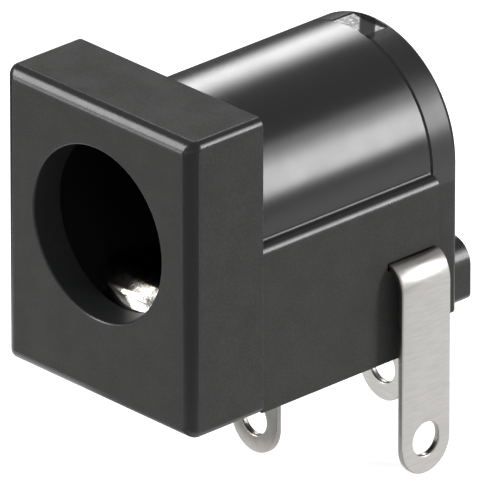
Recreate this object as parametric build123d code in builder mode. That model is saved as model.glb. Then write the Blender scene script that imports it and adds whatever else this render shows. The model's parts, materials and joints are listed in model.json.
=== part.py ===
from build123d import *
import os

# A power socket for a circuit board: a moulded housing closed by a moulded rear cover, a turned
# centre pin, and three contacts cut and bent from thin sheet that end in solder tags.
# Sizes are in millimetres. The origin is the centre of the socket's mouth, on the flange's front
# face. X points right as seen from the front, Y runs into the socket and Z points up.

os.makedirs("parts", exist_ok=True)

# Front flange
flange_width = 9.0
flange_height = 10.7
flange_depth = 3.3
flange_front_radius = 0.5
flange_side_radius = 0.3
flange_rear_radius = 0.06
axis_height = 6.05  # socket axis over the board

# Barrel and square lower body behind the flange
barrel_diameter = 8.0
barrel_length = 8.1
body_inset = 0.08  # body's sides behind the flange's
shelf_height = 6.0  # body's shelves beside the barrel, over the board
shelf_radius = 0.35
seam_chamfer = 0.06  # broken edges that draw the line between housing and cover

# Socket and the plug it is made for
mouth_diameter = 6.15
mouth_edge_radius = 0.08
lip_depth = 1.2  # narrower ring at the mouth, in front of the bore and the spring's chamber
bore_diameter = 6.5
plug_diameter = 5.5

# Contacts, all cut from one sheet
strip_thickness = 0.25
tag_width = 2.2
tag_length = 4.2  # below the board
tag_pitch = 2.95  # along Y, from one tag to the next
lead_hole_diameter = 1.2
lead_hole_setback = 1.25  # from the tag's round end to the hole's centre
strip_clearance = 0.06  # round a strip where it passes through moulded plastic
bend_radius = 0.25  # inside a sharp bend

# Sleeve spring: a hairpin that lies on the chamber's floor and rises into the socket
spring_width = 2.8
spring_side_clearance = 0.1
floor_thickness = 0.6
spring_front_rise = 0.12  # front bend's top over the bottom of the mouth
contact_squeeze = 0.45  # crest over the bottom of a plug
crest_setback = 1.4  # crest in front of the flat tail
crest_radius = 2.0
tail_overrun = 0.75  # tail's end behind the middle of the switch contact
tail_reach = 2.3  # side finger under the switch contact, from the axis
tail_travel = 1.2  # room for the tail to move down when a plug goes in

# Switch contact
switch_height = 3.3  # its underside over the board
switch_stand_off = 0.6  # tag's outer face beyond the flange's side
switch_bend_radius = 0.35
switch_inner_end = 1.3  # clear of the plug, from the axis

# Rear cover
cover_thickness = 1.2
cover_lift = 0.6  # over the board
cover_edge_radius = 0.2
crown_flat_width = 1.66
crown_flat_length = 1.0
crown_flat_depth = 0.12
spigot_length = 1.2
spigot_clearance = 0.03
tongue_height = 0.6  # above the chamber's floor
tongue_clearance = 0.08
hub_diameter = 3.2
hub_height = 0.375

# Block on the cover that guides the pin's tag
block_width = 7.2
block_depth = 1.0
block_lift = 0.5
block_top = 2.65  # over the board
block_shoulder_radius = 0.85
block_corner_radius = 0.3

# Centre pin
pin_diameter = 2.0
pin_recess = 3.4  # tip behind the mouth
pin_tip_radius = 0.45
collar_diameter = 3.0
collar_length = 0.5
shank_diameter = 1.6
stub_diameter = 1.2
head_diameter = 1.9
head_height = 0.33
head_edge_radius = 0.2

# Places that follow from the sizes
board_z = -axis_height
flange_top_z = board_z + flange_height
body_width = flange_width - 2 * body_inset
shelf_z = board_z + shelf_height
barrel_radius = barrel_diameter / 2
mouth_radius = mouth_diameter / 2
bore_radius = bore_diameter / 2
seam_y = flange_depth + barrel_length
cover_rear_y = seam_y + cover_thickness
cover_bottom_z = board_z + cover_lift
block_bottom_z = board_z + block_lift
block_top_z = board_z + block_top
floor_z = board_z + floor_thickness
chamber_width = spring_width + 2 * spring_side_clearance
tag_bottom_z = board_z - tag_length

pin_tag_y = cover_rear_y + hub_height + strip_thickness / 2
switch_tag_y = pin_tag_y - tag_pitch
sleeve_tag_y = switch_tag_y - tag_pitch

switch_bottom_z = board_z + switch_height
switch_top_z = switch_bottom_z + strip_thickness
switch_slot_front_y = switch_tag_y - tag_width / 2 - strip_clearance
switch_tag_x = flange_width / 2 + switch_stand_off - strip_thickness / 2

floor_slot_front_y = sleeve_tag_y - strip_thickness / 2 - bend_radius - strip_clearance
floor_slot_width = tag_width + 2 * strip_clearance
tongue_front_y = sleeve_tag_y + strip_thickness / 2 + bend_radius + tongue_clearance


def tag_outline(centre, top_z):
    """Flat tag that hangs from top_z to its round end below the board, with its lead hole."""
    end_z = tag_bottom_z + tag_width / 2
    with Locations((centre, (top_z + end_z) / 2)):
        Rectangle(tag_width, top_z - end_z)
    with Locations((centre, end_z)):
        Circle(tag_width / 2)
    with Locations((centre, tag_bottom_z + lead_hole_setback)):
        Circle(lead_hole_diameter / 2, mode=Mode.SUBTRACT)


def band(low, high, bottom, top, mode=Mode.ADD):
    """Rectangle between two pairs of edges in the open sketch."""
    with Locations(((low + high) / 2, (bottom + top) / 2)):
        Rectangle(high - low, top - bottom, mode=mode)


# Housing: one black moulding with the flange, the barrel and the square body under it
with BuildPart() as housing:
    with BuildSketch(Plane.XZ):
        band(-flange_width / 2, flange_width / 2, board_z, flange_top_z)
    extrude(amount=-flange_depth)
    fillet(housing.edges().group_by(Axis.Y)[0], radius=flange_front_radius)
    fillet(housing.edges().filter_by(Axis.Y), radius=flange_side_radius)
    fillet(housing.edges().group_by(Axis.Y)[-1], radius=flange_rear_radius)

    with BuildSketch(Plane.XZ.offset(-flange_depth)):
        with BuildLine():
            FilletPolyline(
                (-body_width / 2, board_z),
                (body_width / 2, board_z),
                (body_width / 2, shelf_z),
                (-body_width / 2, shelf_z),
                radius=[0, 0, shelf_radius, shelf_radius],
                close=True,
            )
        make_face()
    extrude(amount=-barrel_length)
    with BuildSketch(Plane.XZ.offset(-flange_depth)):
        Circle(barrel_radius)
    extrude(amount=-barrel_length)
    chamfer(housing.edges().group_by(Axis.Y)[-1], length=seam_chamfer)

    # Socket: a lip at the mouth and a slightly wider bore behind it, open to the rear
    with BuildSketch(Plane.XZ):
        Circle(mouth_radius)
    extrude(amount=-lip_depth, mode=Mode.SUBTRACT)
    with BuildSketch(Plane.XZ.offset(-lip_depth)):
        Circle(bore_radius)
    extrude(amount=lip_depth - seam_y, mode=Mode.SUBTRACT)
    mouth_edge = housing.edges().filter_by(GeomType.CIRCLE).group_by(Axis.Y)[0]
    fillet(mouth_edge, radius=mouth_edge_radius)

    # Chamber under the socket for the sleeve spring, open to the rear for fitting it
    with BuildSketch(Plane.XZ.offset(-lip_depth)):
        band(-chamber_width / 2, chamber_width / 2, floor_z, 0)
    extrude(amount=lip_depth - seam_y, mode=Mode.SUBTRACT)

    # Slot in the floor that the sleeve tag slides along
    with BuildSketch(Plane.XY.offset(board_z)):
        band(-floor_slot_width / 2, floor_slot_width / 2, floor_slot_front_y, seam_y)
    extrude(amount=floor_thickness, mode=Mode.SUBTRACT)

    # Slot through the right wall for the switch contact, and room for the spring's tail under it
    with BuildSketch(Plane.YZ):
        band(switch_slot_front_y, seam_y, switch_bottom_z, switch_top_z + strip_clearance)
    extrude(amount=flange_width / 2, mode=Mode.SUBTRACT)
    with BuildSketch(Plane.YZ):
        band(switch_slot_front_y, seam_y, switch_bottom_z - strip_thickness - tail_travel, switch_bottom_z)
    extrude(amount=tail_reach + spring_side_clearance, mode=Mode.SUBTRACT)

# Rear cover: arched plate, spigot in the bore, tongue over the floor slot and the tag's block
with BuildPart() as rear_cover:
    with BuildSketch(Plane.XZ.offset(-seam_y)):
        Circle(barrel_radius)
        band(-barrel_radius, barrel_radius, cover_bottom_z, 0)
    extrude(amount=-cover_thickness)
    fillet(rear_cover.edges().group_by(Axis.Y)[-1], radius=cover_edge_radius)
    chamfer(rear_cover.edges().group_by(Axis.Y)[0], length=seam_chamfer)

    with BuildSketch(Plane.XY.offset(barrel_radius - crown_flat_depth)):
        band(-crown_flat_width / 2, crown_flat_width / 2, seam_y, seam_y + crown_flat_length)
    extrude(amount=crown_flat_depth, mode=Mode.SUBTRACT)

    with BuildSketch(Plane.XZ.offset(-cover_rear_y)):
        with BuildLine():
            FilletPolyline(
                (-block_width / 2, block_bottom_z),
                (block_width / 2, block_bottom_z),
                (block_width / 2, block_top_z),
                (-block_width / 2, block_top_z),
                radius=[block_corner_radius, block_corner_radius, block_shoulder_radius, block_shoulder_radius],
                close=True,
            )
        make_face()
    extrude(amount=-block_depth)
    with BuildSketch(Plane.XZ.offset(-cover_rear_y)):
        Circle(hub_diameter / 2)
    extrude(amount=-hub_height)

    with BuildSketch(Plane.XZ.offset(-seam_y)):
        Circle(bore_radius - spigot_clearance)
        band(-bore_radius, bore_radius, -bore_radius, switch_top_z + strip_clearance, Mode.SUBTRACT)
    extrude(amount=spigot_length)
    with BuildSketch(Plane.XZ.offset(-seam_y)):
        band(-tag_width / 2, tag_width / 2, board_z, floor_z)
        band(-spring_width / 2, spring_width / 2, floor_z, floor_z + tongue_height)
    extrude(amount=seam_y - tongue_front_y)

    # Holes for the pin's shank and for the tag that passes down through the block
    with BuildSketch(Plane.XZ.offset(spigot_length - seam_y)):
        Circle(shank_diameter / 2)
    extrude(amount=-(spigot_length + cover_thickness + hub_height), mode=Mode.SUBTRACT)
    tag_slot_half = strip_thickness / 2 + strip_clearance
    with BuildSketch(Plane.XY.offset(block_bottom_z)):
        band(-tag_width / 2 - strip_clearance, tag_width / 2 + strip_clearance,
             pin_tag_y - tag_slot_half, pin_tag_y + tag_slot_half)
    extrude(amount=block_top_z - block_bottom_z, mode=Mode.SUBTRACT)

# Centre pin: turned, with a collar seated on the cover's spigot and a stub riveted at the rear
collar_rear_y = seam_y - spigot_length
shank_end_y = cover_rear_y + hub_height
head_front_y = shank_end_y + strip_thickness
with BuildPart() as centre_pin:
    with BuildSketch(Plane.XY) as pin_section:
        with BuildLine():
            Polyline(
                (0, pin_recess),
                (pin_diameter / 2, pin_recess),
                (pin_diameter / 2, collar_rear_y - collar_length),
                (collar_diameter / 2, collar_rear_y - collar_length),
                (collar_diameter / 2, collar_rear_y),
                (shank_diameter / 2, collar_rear_y),
                (shank_diameter / 2, shank_end_y),
                (stub_diameter / 2, shank_end_y),
                (stub_diameter / 2, head_front_y),
                (head_diameter / 2, head_front_y),
                (head_diameter / 2, head_front_y + head_height),
                (0, head_front_y + head_height),
                close=True,
            )
        make_face()
        outer = pin_section.vertices().filter_by(lambda v: v.X > 0)
        fillet(outer.group_by(Axis.Y)[0], radius=pin_tip_radius)
        fillet(outer.group_by(Axis.Y)[-1], radius=head_edge_radius)
    revolve(axis=Axis.Y)

# Centre pin's terminal: a flat strap held under the rivet, straight down through the block
with BuildPart() as centre_pin_terminal:
    with BuildSketch(Plane.XZ.offset(-shank_end_y)):
        tag_outline(0, 0)
        Circle(tag_width / 2)
        Circle(stub_diameter / 2, mode=Mode.SUBTRACT)
    extrude(amount=-strip_thickness)

# Sleeve spring: tag, base along the floor, round front bend, rising leaf with its crest, and tail
base_z = floor_z + strip_thickness / 2
front_y = lip_depth + spring_side_clearance + strip_thickness / 2
leaf_z = -mouth_radius + spring_front_rise - strip_thickness / 2
crest_z = -plug_diameter / 2 + contact_squeeze - strip_thickness / 2
tail_z = switch_bottom_z - strip_thickness / 2
tail_front_y = switch_tag_y - tag_width / 2 - bend_radius
tail_end_y = switch_tag_y + tail_overrun
front_bend_radius = 0.48 * (leaf_z - base_z)
narrow_top_z = floor_z + 2 * strip_thickness
with BuildPart() as sleeve_spring_terminal:
    with BuildSketch(Plane.YZ.offset(-spring_width / 2)):
        with BuildLine():
            FilletPolyline(
                (sleeve_tag_y, board_z),
                (sleeve_tag_y, base_z),
                (front_y, base_z),
                (front_y, leaf_z),
                (tail_front_y - crest_setback, crest_z),
                (tail_front_y, tail_z),
                (tail_end_y, tail_z),
                radius=[bend_radius + strip_thickness / 2, front_bend_radius, front_bend_radius,
                        crest_radius, crest_radius / 2],
            )
        trace(line_width=strip_thickness)
    extrude(amount=spring_width)

    # Narrow the strip to the tag's width where it turns down through the floor
    with BuildSketch(Plane.XZ.offset(-floor_slot_front_y)):
        band(-spring_width / 2, spring_width / 2, board_z, narrow_top_z)
        band(-tag_width / 2, tag_width / 2, board_z, narrow_top_z, Mode.SUBTRACT)
    extrude(amount=floor_slot_front_y - tongue_front_y, mode=Mode.SUBTRACT)

    with BuildSketch(Plane.XZ.offset(-(sleeve_tag_y - strip_thickness / 2))):
        tag_outline(0, board_z)
    extrude(amount=-strip_thickness)
    with BuildSketch(Plane.XY.offset(switch_bottom_z)):
        band(0, tail_reach, switch_slot_front_y + spring_side_clearance, tail_end_y)
    extrude(amount=-strip_thickness)

# Switch contact: straight in through the side wall over the spring's tail, outside bent down
switch_z = switch_bottom_z + strip_thickness / 2
with BuildPart() as switch_terminal:
    with BuildSketch(Plane.XZ.offset(-(switch_tag_y - tag_width / 2))):
        with BuildLine():
            FilletPolyline(
                (switch_inner_end, switch_z),
                (switch_tag_x, switch_z),
                (switch_tag_x, board_z),
                radius=switch_bend_radius + strip_thickness / 2,
            )
        trace(line_width=strip_thickness)
    extrude(amount=-tag_width)
    with BuildSketch(Plane.YZ.offset(switch_tag_x - strip_thickness / 2)):
        tag_outline(switch_tag_y, board_z)
    extrude(amount=strip_thickness)

housing.part.label = "housing"
rear_cover.part.label = "rear_cover"
centre_pin.part.label = "centre_pin"
centre_pin_terminal.part.label = "centre_pin_terminal"
sleeve_spring_terminal.part.label = "sleeve_spring_terminal"
switch_terminal.part.label = "switch_terminal"

export_step(housing.part, "parts/housing.step")
export_step(rear_cover.part, "parts/rear_cover.step")
export_step(centre_pin.part, "parts/centre_pin.step")
export_step(centre_pin_terminal.part, "parts/centre_pin_terminal.step")
export_step(sleeve_spring_terminal.part, "parts/sleeve_spring_terminal.step")
export_step(switch_terminal.part, "parts/switch_terminal.step")
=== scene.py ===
import json
import math
import bmesh
import bpy
from mathutils import Matrix, Vector


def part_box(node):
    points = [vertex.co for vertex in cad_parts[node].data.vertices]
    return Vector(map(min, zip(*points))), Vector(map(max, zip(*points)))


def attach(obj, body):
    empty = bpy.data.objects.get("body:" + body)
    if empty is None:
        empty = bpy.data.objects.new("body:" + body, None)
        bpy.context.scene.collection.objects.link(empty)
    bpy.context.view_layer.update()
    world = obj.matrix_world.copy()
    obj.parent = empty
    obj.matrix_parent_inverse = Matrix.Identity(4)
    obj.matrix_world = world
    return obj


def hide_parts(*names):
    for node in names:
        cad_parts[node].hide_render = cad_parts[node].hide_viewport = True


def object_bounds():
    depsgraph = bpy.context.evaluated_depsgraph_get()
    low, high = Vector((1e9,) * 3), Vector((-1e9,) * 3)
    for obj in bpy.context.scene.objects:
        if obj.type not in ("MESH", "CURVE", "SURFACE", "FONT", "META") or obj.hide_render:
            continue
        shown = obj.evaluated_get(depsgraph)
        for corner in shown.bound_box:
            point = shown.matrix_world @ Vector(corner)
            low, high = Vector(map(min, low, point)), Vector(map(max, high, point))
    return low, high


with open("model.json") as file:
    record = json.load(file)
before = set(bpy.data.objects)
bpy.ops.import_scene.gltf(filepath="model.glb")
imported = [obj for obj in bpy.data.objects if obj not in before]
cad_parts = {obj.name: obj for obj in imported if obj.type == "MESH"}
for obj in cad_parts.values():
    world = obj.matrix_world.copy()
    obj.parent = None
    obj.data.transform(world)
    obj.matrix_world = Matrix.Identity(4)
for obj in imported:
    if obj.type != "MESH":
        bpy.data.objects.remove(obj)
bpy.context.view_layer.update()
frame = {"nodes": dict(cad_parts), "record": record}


# Housing: one black moulding with the flange, the barrel and the square body under it. Its flat
# faces have the fine grain of a spark-eroded mould, its round faces and edges come out polished.
# The contacts and the cover go in from the back.
barrel_radius = 0.004
barrel_front_y = 0.00328
bore_radius = 0.00325
bore_front_y = 0.00003
lip_depth = 0.0012
fade = 0.00005  # width of the change from one finish to the next
barrel_skin = 0.00003
flat_faced, round_faced = 0.998, 0.97  # how squarely a face looks along an axis
housing_roughness = 0.24
grain_height = 0.00001
flat_black = (0.0255, 0.0252, 0.0243, 1.0)
polished_black = (0.0085, 0.0088, 0.0095, 1.0)
# Painted light on the bore's lip and painted shade deeper in the bore, as tones of its colour
lip_painted_light, deep_painted_shade = 2.4, 0.25
# Painted highlight: a thin pale line along the barrel's foot, where it lies and its grey
highlight_line_top_z, highlight_line_inner_x = -0.000005, 0.0039
painted_highlight_grey = (0.3, 0.3, 0.3, 1.0)


def add_node(tree, kind, values=None, **settings):
    """New node in the tree. Values are numbers, colours or the output of another node."""
    made = tree.nodes.new(kind)
    for name, setting in settings.items():
        setattr(made, name, setting)
    for name, value in (values or {}).items():
        if isinstance(value, bpy.types.NodeSocket):
            tree.links.new(value, made.inputs[name])
        else:
            made.inputs[name].default_value = value
    return made


def sum_up(tree, kind, *values):
    """Result of a math node of that kind."""
    return add_node(tree, "ShaderNodeMath", dict(enumerate(values)), operation=kind).outputs[0]


def between(tree, value, low, high, low_result=0.0, high_result=1.0):
    """Value eased from one result to the other while it goes from low to high."""
    return add_node(tree, "ShaderNodeMapRange", {
        "Value": value, "From Min": low, "From Max": high,
        "To Min": low_result, "To Max": high_result}, interpolation_type="SMOOTHSTEP").outputs[0]


def even_out(tree, noise, low_result=0.0, high_result=1.0):
    """Noise spread from one result to the other, with nearly all its values in use."""
    return between(tree, noise, 0.3, 0.7, low_result, high_result)


def speckle(tree, place, size, detail, roughness):
    """Noise with spots of about that size, in metres."""
    return add_node(tree, "ShaderNodeTexNoise", {
        "Vector": place, "Scale": 1.0 / size, "Detail": detail, "Roughness": roughness}).outputs[0]


def blend(tree, mask, where_none, where_full):
    """Number that goes from one value to the other with the mask."""
    return add_node(tree, "ShaderNodeMix", {"Factor": mask, "A": where_none, "B": where_full}).outputs[0]


def blend_colour(tree, mask, where_none, where_full):
    """Colour that goes from one value to the other with the mask."""
    return add_node(tree, "ShaderNodeMix", {
        "Factor": mask, 6: where_none, 7: where_full}, data_type="RGBA").outputs[2]


def vector_result(tree, kind, output, *values):
    """Output of a vector math node of that kind."""
    return add_node(tree, "ShaderNodeVectorMath", dict(enumerate(values)), operation=kind).outputs[output]


def darken(tree, colour, tone):
    """Colour times a number."""
    return add_node(tree, "ShaderNodeVectorMath", {
        0: colour, "Scale": tone}, operation="SCALE").outputs["Vector"]


def split(tree, vector):
    """The X, Y and Z of a vector."""
    return add_node(tree, "ShaderNodeSeparateXYZ", {"Vector": vector}).outputs


def new_finish(name, **values):
    """New material with one Principled BSDF, and its tree and shader to add the pattern to."""
    finish = bpy.data.materials.new(name)
    finish.use_nodes = True
    tree = finish.node_tree
    tree.nodes.clear()
    shader = add_node(tree, "ShaderNodeBsdfPrincipled", values)
    add_node(tree, "ShaderNodeOutputMaterial", {"Surface": shader.outputs["BSDF"]})
    return finish, tree, shader


def new_effect(name, vectors, numbers, outputs):
    """New shader node group for an effect that finishes share, with its inputs and outputs."""
    tree = bpy.data.node_groups.new(name, "ShaderNodeTree")
    for label in vectors:
        tree.interface.new_socket(label, in_out="INPUT", socket_type="NodeSocketVector")
    for label, value in numbers.items():
        socket = tree.interface.new_socket(label, in_out="INPUT", socket_type="NodeSocketFloat")
        socket.default_value = value
    for label in outputs:
        tree.interface.new_socket(label, in_out="OUTPUT", socket_type="NodeSocketFloat")
    return tree, tree.nodes.new("NodeGroupInput").outputs, tree.nodes.new("NodeGroupOutput").inputs


def give_finish(node, finish):
    """Put the finish in every material slot of a CAD node."""
    for slot in frame["nodes"][node].material_slots:
        slot.material = finish


# Moulded surface: polished where it curves, grained where it is flat, and slightly uneven
moulded_surface, given, result = new_effect(
    "moulded surface", ("Place", "Facing"),
    {"Flat roughness": 0.78, "Edge roughness": 0.28, "Barrel roughness": housing_roughness,
     "Bore roughness": 0.5},
    ("Polish", "Barrel", "Bore", "Tone", "Roughness", "Height"),
)
tree = moulded_surface
facing = split(tree, vector_result(tree, "ABSOLUTE", "Vector", given["Facing"]))
squarest = sum_up(tree, "MAXIMUM", sum_up(tree, "MAXIMUM", facing["X"], facing["Y"]), facing["Z"])
curved = between(tree, squarest, flat_faced, round_faced)
around = vector_result(tree, "MULTIPLY", "Vector", given["Place"], (1.0, 0.0, 1.0))
around = vector_result(tree, "LENGTH", "Value", around)
along = split(tree, given["Place"])["Y"]
off_barrel = sum_up(tree, "ABSOLUTE", sum_up(tree, "SUBTRACT", around, barrel_radius))
on_barrel = sum_up(
    tree, "MULTIPLY", between(tree, off_barrel, 2 * barrel_skin, barrel_skin),
    between(tree, along, barrel_front_y, barrel_front_y + fade))
in_bore = sum_up(
    tree, "MULTIPLY", between(tree, around, bore_radius + fade, bore_radius),
    between(tree, along, bore_front_y, bore_front_y + fade))
polish = sum_up(tree, "MAXIMUM", sum_up(tree, "MAXIMUM", curved, on_barrel), in_bore)
grain = speckle(tree, given["Place"], size=0.00007, detail=3.0, roughness=0.6)
cloud = speckle(tree, given["Place"], size=0.0011, detail=4.0, roughness=0.6)
wave = speckle(tree, given["Place"], size=0.0017, detail=1.0, roughness=0.4)
roughness = blend(tree, curved, given["Flat roughness"], given["Edge roughness"])
roughness = blend(tree, on_barrel, roughness, given["Barrel roughness"])
roughness = blend(tree, in_bore, roughness, given["Bore roughness"])
roughness = sum_up(tree, "MULTIPLY", roughness, even_out(tree, cloud, 0.95, 1.05))
height = sum_up(
    tree, "ADD", sum_up(tree, "MULTIPLY", grain, between(tree, polish, 0.0, 1.0, 0.22, 0.02)),
    sum_up(tree, "MULTIPLY", wave, between(tree, polish, 0.0, 1.0, 0.05, 0.9)))
for label, value in (
        ("Polish", polish), ("Barrel", on_barrel), ("Bore", in_bore),
        ("Tone", even_out(tree, grain)), ("Roughness", roughness), ("Height", height)):
    tree.links.new(value, result[label])


def moulded(name, barrel_roughness):
    """New finish for a black moulding, and what its pattern is made from."""
    finish, tree, shader = new_finish(name, IOR=1.5)
    texture = add_node(tree, "ShaderNodeTexCoord").outputs
    surface = add_node(tree, "ShaderNodeGroup", {}, node_tree=moulded_surface)
    surface.inputs["Barrel roughness"].default_value = barrel_roughness
    tree.links.new(texture["Object"], surface.inputs["Place"])
    tree.links.new(texture["Normal"], surface.inputs["Facing"])
    surface = surface.outputs
    # Painted light and shade in the bore: lighter at its lip, darker deeper in
    depth = split(tree, texture["Object"])["Y"]
    inside = between(tree, depth, lip_depth - 2 * fade, lip_depth + 2 * fade, lip_painted_light, deep_painted_shade)
    inside = blend(tree, surface["Bore"], 1.0, inside)
    tone = sum_up(tree, "MULTIPLY", between(tree, surface["Tone"], 0.0, 1.0, 0.8, 1.2), inside)
    colour = darken(tree, blend_colour(tree, surface["Polish"], flat_black, polished_black), tone)
    bump = add_node(tree, "ShaderNodeBump", {
        "Strength": 1.0, "Distance": grain_height, "Height": surface["Height"]})
    tree.links.new(colour, shader.inputs["Base Color"])
    tree.links.new(surface["Roughness"], shader.inputs["Roughness"])
    tree.links.new(bump.outputs[0], shader.inputs["Normal"])
    return finish, tree, shader, texture["Object"], surface, colour


# A painted highlight: a thin pale line runs along the barrel's foot, where it meets the right shelf of the
# square body
housing_finish, tree, shader, place, surface, colour = moulded("black moulding", housing_roughness)
foot = split(tree, place)
painted_highlight_line = sum_up(
    tree, "MULTIPLY", surface["Barrel"], between(tree, foot["Z"], highlight_line_top_z, 2 * highlight_line_top_z))
painted_highlight_line = sum_up(
    tree, "MULTIPLY", painted_highlight_line, between(tree, foot["X"], highlight_line_inner_x, highlight_line_inner_x + fade))
tree.links.new(blend_colour(tree, painted_highlight_line, colour, painted_highlight_grey), shader.inputs["Base Color"])
give_finish("housing", housing_finish)


# Rear cover: a second moulding in the same black, pressed into the barrel from behind. The flat
# on its crown still carries the dull torn scar where the mould's gate was broken off.
cover_roughness = 0.34
scar_roughness = 0.8
scar_tone = 0.45
scar_middle = (0.00021, 0.01205, 0.00388)
scar_half_width, scar_half_length = 0.00024, 0.00075
ragged_width, ragged_length = 0.00008, 0.0002
crown_skin = 0.00002
cover_finish, tree, shader, place, surface, colour = moulded(
    "black moulding with gate scar", cover_roughness)
from_scar = split(tree, vector_result(tree, "SUBTRACT", "Vector", place, scar_middle))
torn = speckle(tree, place, size=0.00012, detail=3.0, roughness=0.7)
across = sum_up(tree, "MULTIPLY", sum_up(tree, "ADD", from_scar["X"], from_scar["Y"]), math.sqrt(0.5))
across = sum_up(
    tree, "ADD", sum_up(tree, "ABSOLUTE", across), sum_up(tree, "MULTIPLY", torn, ragged_width))
sideways = sum_up(tree, "ABSOLUTE", from_scar["X"])
crown = between(tree, from_scar["Z"], -2 * crown_skin, -crown_skin)
scar = between(tree, across, scar_half_width + ragged_width, scar_half_width)
scar = sum_up(tree, "MULTIPLY", scar, crown)
scar = sum_up(
    tree, "MULTIPLY", scar,
    between(tree, sideways, scar_half_length + ragged_length, scar_half_length))
smeared_crown = between(tree, torn, 0.35, 0.65, 0.26, 0.46)
roughness = blend(tree, scar, blend(tree, crown, surface["Roughness"], smeared_crown), scar_roughness)
tree.links.new(roughness, shader.inputs["Roughness"])
scarred_tone = between(tree, scar, 0.0, 1.0, 1.0, scar_tone)
tree.links.new(darken(tree, colour, scarred_tone), shader.inputs["Base Color"])
pulled = sum_up(tree, "MULTIPLY", scar, sum_up(tree, "MULTIPLY", torn, 3.0))
bump = shader.inputs["Normal"].links[0].from_node
tree.links.new(sum_up(tree, "ADD", surface["Height"], pulled), bump.inputs["Height"])
give_finish("rear_cover", cover_finish)


# Centre pin: turned from brass and nickel plated, with faint tool marks round it. Its collar
# seats on the cover and its rear end is riveted over the terminal.
tool_mark_pitch = 0.00005
line_height = 0.000001

# Plated surface: fine lines or marks, with faint stains and pits over them
plated_surface, given, result = new_effect(
    "plated surface", ("Place", "Lines"), {"Line depth": 1.0}, ("Tone", "Roughness", "Height"))
tree = plated_surface
lines = speckle(tree, given["Lines"], size=1.0, detail=3.0, roughness=0.6)
stain = speckle(tree, given["Place"], size=0.0009, detail=3.0, roughness=0.6)
pits = speckle(tree, given["Place"], size=0.00009, detail=2.0, roughness=0.5)
tone = sum_up(tree, "ADD", even_out(tree, stain, 0.0, 0.3), even_out(tree, lines, 0.0, 0.7))
height = sum_up(
    tree, "ADD", sum_up(tree, "MULTIPLY", lines, given["Line depth"]), sum_up(tree, "MULTIPLY", pits, 0.1))
for label, value in (("Tone", tone), ("Roughness", even_out(tree, stain, 0.28, 0.4)), ("Height", height)):
    tree.links.new(value, result[label])


def plated(name, colour, line_depth):
    """New finish for plated metal, its tree, the place and the lines' vector input."""
    finish, tree, shader = new_finish(name, Metallic=1.0)
    place = add_node(tree, "ShaderNodeTexCoord").outputs["Object"]
    surface = add_node(tree, "ShaderNodeGroup", {}, node_tree=plated_surface)
    tree.links.new(place, surface.inputs["Place"])
    surface.inputs["Line depth"].default_value = line_depth
    tone = between(tree, surface.outputs["Tone"], 0.0, 1.0, 0.93, 1.06)
    bump = add_node(tree, "ShaderNodeBump", {
        "Strength": 1.0, "Distance": line_height, "Height": surface.outputs["Height"]})
    tree.links.new(darken(tree, colour, tone), shader.inputs["Base Color"])
    tree.links.new(surface.outputs["Roughness"], shader.inputs["Roughness"])
    tree.links.new(bump.outputs[0], shader.inputs["Normal"])
    return finish, tree, place, surface.inputs["Lines"]


pin_finish, tree, place, lines = plated("turned nickel", (0.66, 0.64, 0.6), line_depth=0.8)
round_pin = vector_result(tree, "MULTIPLY", "Vector", place, (1.0, 0.0, 1.0))
round_pin = vector_result(tree, "LENGTH", "Value", round_pin)
tool_marks = add_node(tree, "ShaderNodeCombineXYZ", {
    "X": sum_up(tree, "DIVIDE", round_pin, tool_mark_pitch),
    "Y": sum_up(tree, "DIVIDE", split(tree, place)["Y"], tool_mark_pitch)})
tree.links.new(tool_marks.outputs[0], lines)
give_finish("centre_pin", pin_finish)


# Contacts: three strips blanked and bent from one plated sheet. Their faces are brushed, their
# sheared edges are duller and slightly rounded. The pin's strip is flat and riveted under its head.
sheet = 0.00025
edge_radius = 0.00006
brushing = (1200.0, 1200.0, 16000.0)  # spots in a metre along each axis, so the lines run level
tearing = (9000.0, 9000.0, 9000.0)
strip_finish, tree, place, lines = plated(
    "plated strip", (0.412, 0.4, 0.384), line_depth=1.8)
tree.links.new(vector_result(tree, "MULTIPLY", "Vector", place, brushing), lines)
sheared_finish, tree, place, lines = plated(
    "sheared edge", (0.24, 0.232, 0.22), line_depth=6.0)
tree.links.new(vector_result(tree, "MULTIPLY", "Vector", place, tearing), lines)


def finish_strip(strip, name):
    """Round the strip's edges and put it in the place of its CAD node."""
    rounding = strip.modifiers.new("rounded edges", "BEVEL")
    rounding.width = edge_radius
    rounding.segments = 3
    rounding.limit_method = "ANGLE"
    rounding.angle_limit = math.radians(40)
    bpy.ops.object.modifier_apply(modifier=rounding.name)
    bpy.ops.object.shade_smooth_by_angle(angle=math.radians(35))
    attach(strip, "root")
    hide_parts(name)


bpy.ops.object.select_all(action="DESELECT")
strip = bpy.data.objects.new("centre_pin_strip", frame["nodes"]["centre_pin_terminal"].data.copy())
bpy.context.collection.objects.link(strip)
bpy.context.view_layer.objects.active = strip
strip.select_set(True)
strip.data.materials.clear()
strip.data.materials.append(strip_finish)
strip.data.materials.append(sheared_finish)
bpy.ops.object.mode_set(mode="EDIT")
bpy.ops.mesh.select_all(action="SELECT")
bpy.ops.mesh.remove_doubles(threshold=0.000002)
bpy.ops.mesh.dissolve_limited(angle_limit=math.radians(0.5))
bpy.ops.mesh.normals_make_consistent(inside=False)
bpy.ops.object.mode_set(mode="OBJECT")
for face in strip.data.polygons:
    face.material_index = int(abs(face.normal.y) < 0.5)  # its flat faces look along Y
finish_strip(strip, "centre_pin_terminal")


# Side contact: comes out level through the slot in the wall, turns down in a wide round shoulder
# and ends in its tag. Inside it is the rest that the sleeve spring's tail touches.
tag_width = 0.0022
lead_hole_radius = 0.0006
shoulder_reach = 0.000555
shoulder_drop = 0.000875
tiny = 0.000001
holes = {mount["name"]: Vector(mount["pos_m"]) for mount in frame["record"]["mounts"]}


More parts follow.
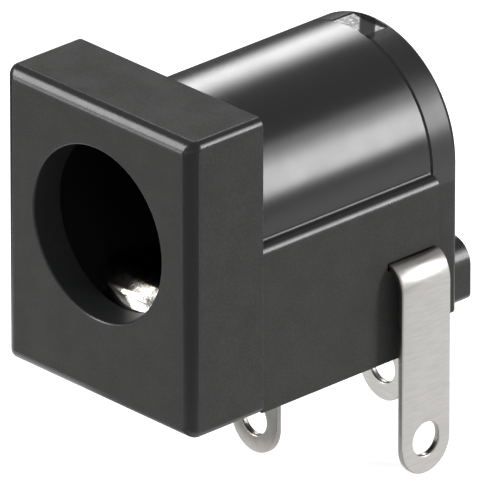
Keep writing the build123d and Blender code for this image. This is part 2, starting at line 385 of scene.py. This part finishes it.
def choose(piece, wanted):
    """Select the open mesh's vertices that are wanted, with what lies between them."""
    bpy.ops.mesh.select_all(action="DESELECT")
    mesh = bmesh.from_edit_mesh(piece.data)
    for vertex in mesh.verts:
        vertex.select_set(wanted(vertex.co))
    mesh.select_flush(True)
    bmesh.update_edit_mesh(piece.data)


def start_strip(name, hole_z, end_z, shoulder_z):
    """Flat tag across X from its round end up to the shoulder, open with its top edge selected."""
    bpy.ops.object.select_all(action="DESELECT")
    bpy.ops.mesh.primitive_circle_add(
        vertices=64, radius=lead_hole_radius, location=(0.0, 0.0, hole_z), rotation=(math.pi / 2, 0.0, 0.0))
    strip = bpy.context.object
    strip.name = name
    bpy.ops.object.transform_apply(location=True, rotation=True)
    bpy.ops.object.mode_set(mode="EDIT")
    bpy.ops.mesh.select_mode(type="VERT")
    bpy.ops.mesh.select_all(action="SELECT")

    # Ring round the lead hole, moved down to the tag's round end, then cut off above it
    bpy.ops.mesh.extrude_region_move()
    wider = tag_width / 2 / lead_hole_radius
    bpy.ops.transform.resize(value=(wider, 1.0, wider), center_override=(0.0, 0.0, hole_z))
    round_z = end_z + tag_width / 2
    bpy.ops.transform.translate(value=(0.0, 0.0, round_z - hole_z))
    outside = tag_width / 2 - tiny
    choose(strip, lambda at: at.z > round_z + tiny and math.hypot(at.x, at.z - round_z) > outside)
    bpy.ops.mesh.delete(type="VERT")

    # Sides and top edge of the tag, and the face that they close over the hole
    choose(strip, lambda at: abs(at.x) > outside)
    bpy.ops.mesh.extrude_region_move(TRANSFORM_OT_translate={"value": (0.0, 0.0, shoulder_z - round_z)})
    bpy.ops.mesh.edge_face_add()
    choose(strip, lambda at: at.z > hole_z - tiny or abs(at.x) > outside)
    bpy.ops.mesh.edge_face_add()
    choose(strip, lambda at: at.z > shoulder_z - tiny)
    return strip


def fold_strip(strip, corners):
    """Lead the strip on from its tag's shoulder, then round each fold.

    A corner is its place along Y and Z, the middle radius of the fold and the strip's width.
    """
    for (y, z, radius, width), (next_y, next_z, next_radius, next_width) in zip(corners, corners[1:]):
        bpy.ops.mesh.extrude_region_move(TRANSFORM_OT_translate={"value": (0.0, next_y - y, next_z - z)})
        bpy.ops.transform.resize(
            value=(next_width / width, 1.0, 1.0), center_override=(0.0, next_y, next_z))
    tag_corner = (0.0, corners[0][1] - tag_width, 0.0, tag_width)
    for before, corner, after in zip([tag_corner] + corners, corners, corners[1:]):
        y, z, radius, width = corner
        run_in = Vector((y - before[0], z - before[1]))
        run_out = Vector((after[0] - y, after[1] - z))
        if radius:
            choose(strip, lambda at: abs(at.y - y) < tiny and abs(at.z - z) < tiny)
            bpy.ops.mesh.bevel(
                offset=radius * math.tan(run_in.angle(run_out) / 2), segments=10, affect="EDGES")


def thicken_strip(strip, face_finish):
    """Give the folded strip its thickness, with the duller finish on its sheared edges."""
    bpy.ops.mesh.select_all(action="SELECT")
    bpy.ops.mesh.normals_make_consistent(inside=False)
    bpy.ops.object.mode_set(mode="OBJECT")
    strip.data.materials.append(face_finish)
    strip.data.materials.append(sheared_finish)
    wall = strip.modifiers.new("sheet", "SOLIDIFY")
    wall.thickness = sheet
    wall.offset = 0.0
    wall.use_even_offset = True
    wall.material_offset_rim = 1
    bpy.ops.object.modifier_apply(modifier=wall.name)


lowest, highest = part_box("switch_terminal")
hole = holes["switch_tag_hole"]
level_z = highest[2] - sheet / 2
inner_end = hole.x - lowest[0]
strip = start_strip("switch_strip", hole.z, lowest[2], level_z)
fold_strip(strip, [(0.0, level_z, shoulder_reach, tag_width), (-inner_end, level_z, 0.0, tag_width)])
choose(strip, lambda at: at.z > level_z - shoulder_reach - tiny)
bpy.ops.transform.resize(
    value=(1.0, 1.0, shoulder_drop / shoulder_reach), center_override=(0.0, 0.0, level_z))
thicken_strip(strip, strip_finish)
strip.rotation_euler = (0.0, 0.0, -math.pi / 2)
strip.location = (hole.x, hole.y, 0.0)
bpy.ops.object.transform_apply(location=True, rotation=True)
finish_strip(strip, "switch_terminal")


# Sleeve spring: one strip from the front tag along the chamber's floor, round its front and up
# the ramp that shows in the mouth. Behind the crest it falls to the tail under the side contact.
# Plugs have smeared its plating into fine lines and polished it glossier. The ramp above its toe is painted
# darker in streaks: painted shade.
smearing = (2600.0, 1800.0, 1800.0)
# Painted shade on the ramp above the toe: its dark colour, where it begins and where it is full, and how
# ragged its edge is
painted_shade_metal = (0.1, 0.093, 0.08, 1.0)
shade_start_z, shade_full_z = -0.00275, -0.00245
shade_edge_unevenness = 0.0003
rubbing_gloss = 0.45
spring_finish, tree, place, lines = plated("worn strip", (0.42, 0.405, 0.38), line_depth=9.0)
shader = tree.nodes["Principled BSDF"]
smeared = vector_result(tree, "MULTIPLY", "Vector", place, smearing)
tree.links.new(smeared, lines)
streaks = add_node(tree, "ShaderNodeTexNoise", {
    "Vector": smeared, "Scale": 1.2, "Detail": 5.0, "Roughness": 0.7}).outputs[0]
# Painted shade in streaks over the ramp above the toe, with a ragged lower edge
uneven_z = sum_up(
    tree, "ADD", split(tree, place)["Z"], sum_up(tree, "MULTIPLY", streaks, shade_edge_unevenness))
painted_ramp_shade = between(tree, uneven_z, shade_start_z, shade_full_z)
painted_ramp_shade = sum_up(tree, "MULTIPLY", painted_ramp_shade, between(tree, streaks, 0.4, 0.6, 1.0, 0.5))
unshaded_plating = shader.inputs["Base Color"].links[0].from_socket
tree.links.new(blend_colour(tree, painted_ramp_shade, unshaded_plating, painted_shade_metal), shader.inputs["Base Color"])
unpolished = shader.inputs["Roughness"].links[0].from_socket
tree.links.new(sum_up(tree, "MULTIPLY", unpolished, rubbing_gloss), shader.inputs["Roughness"])

lowest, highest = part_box("sleeve_spring_terminal")
hole = holes["sleeve_tag_hole"]
base_width, ramp_width = 0.0028, 0.004
base_z = -0.005325
front_y, foot_z = 0.001425 - hole.y, -0.00352
toe_y, toe_z = 0.0017 - hole.y, -0.00279
crest_y, crest_z = 0.0025 - hole.y, -0.00219
narrow_y = 0.0065 - hole.y
tail_y, tail_z = 0.0088 - hole.y, -0.002875
finger_y = 0.00914 - hole.y
side_room = 0.00008
corners = [
    (0.0, base_z, 0.000375, tag_width),
    (front_y, base_z, 0.000875, base_width),
    (front_y, foot_z, 0.0004, base_width),
    (toe_y, toe_z, 0.0003, base_width),
]
for share in (0.16, 0.28, 0.4, 0.52):  # up the ramp, as wide as the round bore leaves room for
    y, z = toe_y + share * (crest_y - toe_y), toe_z + share * (crest_z - toe_z)
    room = math.sqrt(bore_radius ** 2 - (z - sheet / 2) ** 2) - side_room
    corners.append((y, z, 0.0, min(ramp_width, max(base_width, 2 * room))))
fall = (crest_z - tail_z) / (tail_y - crest_y)
corners += [
    (crest_y, crest_z, 0.0011, ramp_width),
    (narrow_y, crest_z - fall * (narrow_y - crest_y), 0.0, base_width),
    (tail_y, tail_z, 0.001, base_width),
    (finger_y, tail_z, 0.0, base_width),
    (highest[1] - hole.y, tail_z, 0.0, base_width),
]
strip = start_strip("sleeve_spring_strip", hole.z, lowest[2], base_z)
fold_strip(strip, corners)
choose(strip, lambda at: at.x > base_width / 2 - tiny and at.y > finger_y - tiny and at.z > tail_z - tiny)
bpy.ops.mesh.extrude_region_move(
    TRANSFORM_OT_translate={"value": (highest[0] - base_width / 2, 0.0, 0.0)})
thicken_strip(strip, spring_finish)
strip.location = (0.0, hole.y, 0.0)
bpy.ops.object.transform_apply(location=True)
finish_strip(strip, "sleeve_spring_terminal")


# Floor: a plain pale sheet at the height of the longest tag's end. It shows white to the camera
# and keeps the part's shadow. In gloss it glows pale too, with a painted shadow under the part's
# front and painted shade towards the camera and at the left behind.
mirrored_y, mirrored_reach = 0.621, 0.7838  # what the barrel mirrors to the camera lies this way
left_back = (-mirrored_reach, mirrored_y, 0.0)
to_camera = (0.728, -0.6855, 0.0)
lowest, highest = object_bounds()
bpy.ops.object.select_all(action="DESELECT")
bpy.ops.mesh.primitive_plane_add(size=4.0, location=(0.0, 0.006, lowest[2]))
floor = bpy.context.object
floor.name = "floor"
bpy.ops.object.transform_apply(location=True)
paper = bpy.data.materials.new("white paper")
paper.use_nodes = True
tree = paper.node_tree
tree.nodes.clear()
ray = add_node(tree, "ShaderNodeLightPath").outputs
place = add_node(tree, "ShaderNodeTexCoord").outputs["Object"]
nearer = vector_result(tree, "DOT_PRODUCT", "Value", place, to_camera)
away = vector_result(tree, "DOT_PRODUCT", "Value", place, left_back)
flat = split(tree, place)
# Painted shadow under the part, and painted shade towards the camera and at the left behind, seen only in
# gloss
under_x = between(tree, sum_up(tree, "ABSOLUTE", flat["X"]), 0.0055, 0.0035)
under_y = between(tree, sum_up(tree, "ABSOLUTE", flat["Y"]), 0.0084, 0.005)
glossy_glow_with_painted_shade = between(tree, sum_up(tree, "MULTIPLY", under_x, under_y), 0.0, 1.0, 1.4, 0.55)
glossy_glow_with_painted_shade = sum_up(tree, "MULTIPLY", glossy_glow_with_painted_shade, between(tree, nearer, 0.004, 0.014, 1.0, 0.35))
glossy_glow_with_painted_shade = sum_up(tree, "MULTIPLY", glossy_glow_with_painted_shade, between(tree, away, 0.0095, 0.02, 1.0, 0.1))
seen = sum_up(tree, "MAXIMUM", ray["Is Camera Ray"], ray["Is Transmission Ray"])
lit = add_node(tree, "ShaderNodeBsdfDiffuse", {"Color": (0.8, 0.8, 0.8, 1.0)})
shine = add_node(tree, "ShaderNodeEmission", {"Strength": sum_up(tree, "MULTIPLY", seen, 0.75)})
plain = add_node(tree, "ShaderNodeAddShader", {0: lit.outputs[0], 1: shine.outputs[0]})
mirrored = add_node(tree, "ShaderNodeEmission", {"Strength": glossy_glow_with_painted_shade})
shown = add_node(tree, "ShaderNodeMixShader", {
    0: ray["Is Glossy Ray"], 1: plain.outputs[0], 2: mirrored.outputs[0]})
add_node(tree, "ShaderNodeOutputMaterial", {"Surface": shown.outputs[0]})
floor.data.materials.append(paper)


# World: white to the camera, and a pale room to everything else. The room is brighter in front
# of the part, and darker low down at its left back.
room_low, room_high, room_corner = 0.72, 0.46, 0.12
front_gain = 1.4
world = bpy.data.worlds.new("studio")
bpy.context.scene.world = world
world.use_nodes = True
tree = world.node_tree
tree.nodes.clear()
ray = add_node(tree, "ShaderNodeLightPath").outputs
way = add_node(tree, "ShaderNodeTexCoord").outputs["Generated"]
rise = split(tree, way)["Z"]
sky = between(tree, rise, 0.0, 0.4, room_low, room_high)
sky = sum_up(tree, "MULTIPLY", sky, between(tree, split(tree, way)["Y"], -0.3, -0.9, 1.0, front_gain))
behind = vector_result(tree, "DOT_PRODUCT", "Value", way, left_back)
corner = sum_up(tree, "MULTIPLY", between(tree, behind, 0.35, 0.75), between(tree, rise, 0.3, 0.1))
strength = blend(tree, ray["Is Camera Ray"], blend(tree, corner, sky, room_corner), 1.0)
studio = add_node(tree, "ShaderNodeBackground", {"Color": (1.0, 1.0, 1.0, 1.0), "Strength": strength})
add_node(tree, "ShaderNodeOutputWorld", {"Surface": studio.outputs[0]})


# Lights: soft boxes seen from the part in arcs. The two behind make the long bands on the barrel,
# each of three strips one in front of the other, so that its ends fade. The two at the front left
# make the highlights on the flange's top edge and on the sleeve spring.
part_middle = Vector((0.0, 0.006, 0.0))
light_distance = 0.35
strip_gap = 0.004
band_width = 0.07
left_bands = ((-75, -32, 2.3), (-68, -38, 3.0), (-63, -44, 3.5))
right_bands = ((38, 84, 3.8), (49, 84, 5.8), (57, 83, 8.6))


def soft_box(name, start, end, width, radiance, distance):
    """Strip of light that runs between two directions from the part, and faces it."""
    first, last = Vector(start).normalized() * distance, Vector(end).normalized() * distance
    centre = (first + last) / 2
    lamp = bpy.data.lights.new(name, "AREA")
    lamp.shape = "RECTANGLE"
    lamp.size = (last - first).length
    lamp.size_y = width
    lamp.energy = radiance * math.pi * lamp.size * lamp.size_y
    box = bpy.data.objects.new(name, lamp)
    bpy.context.collection.objects.link(box)
    along = (last - first).normalized()
    side = centre.cross(along).normalized()
    back = along.cross(side)
    turned = Matrix((along, side, back)).transposed().to_4x4()
    box.matrix_world = Matrix.Translation(part_middle + centre) @ turned


def over_barrel(angle):
    """Direction that the barrel mirrors to the camera, by its angle from upright to the right."""
    turn = math.radians(angle)
    return (mirrored_reach * math.sin(turn), mirrored_y, mirrored_reach * math.cos(turn))


for side, bands in (("left", left_bands), ("right", right_bands)):
    for step, (start, end, radiance) in enumerate(bands):
        soft_box("%s box %d" % (side, step), over_barrel(start), over_barrel(end),
                 band_width, radiance, light_distance - strip_gap * step)
soft_box("front box", (-0.66, -0.70, 0.26), (-0.66, -0.34, 0.67), 0.07, 13.0, light_distance)
soft_box("low front box", (-0.66, -0.74, -0.1), (-0.66, -0.74, 0.12), 0.12, 7.0, 0.34)


# Camera: the photograph's viewing angle. It stands 0.6 m away with a long lens, so the part's
# edges stay nearly parallel.
camera_distance = 0.6
looked_at = (0.000523, 0.005957, -0.001928)
towards_camera = (0.65976, -0.62083, 0.42353)
bpy.ops.object.camera_add(
    location=[at + camera_distance * way for at, way in zip(looked_at, towards_camera)],
    rotation=(math.radians(90 - 25.058), 0.0, math.radians(46.741)),
)
camera = bpy.context.object
camera.data.sensor_width = 36
camera.data.lens = 1358.7
camera.data.clip_start = 0.01
bpy.context.scene.camera = camera
bpy.context.scene.view_settings.view_transform = "Standard"
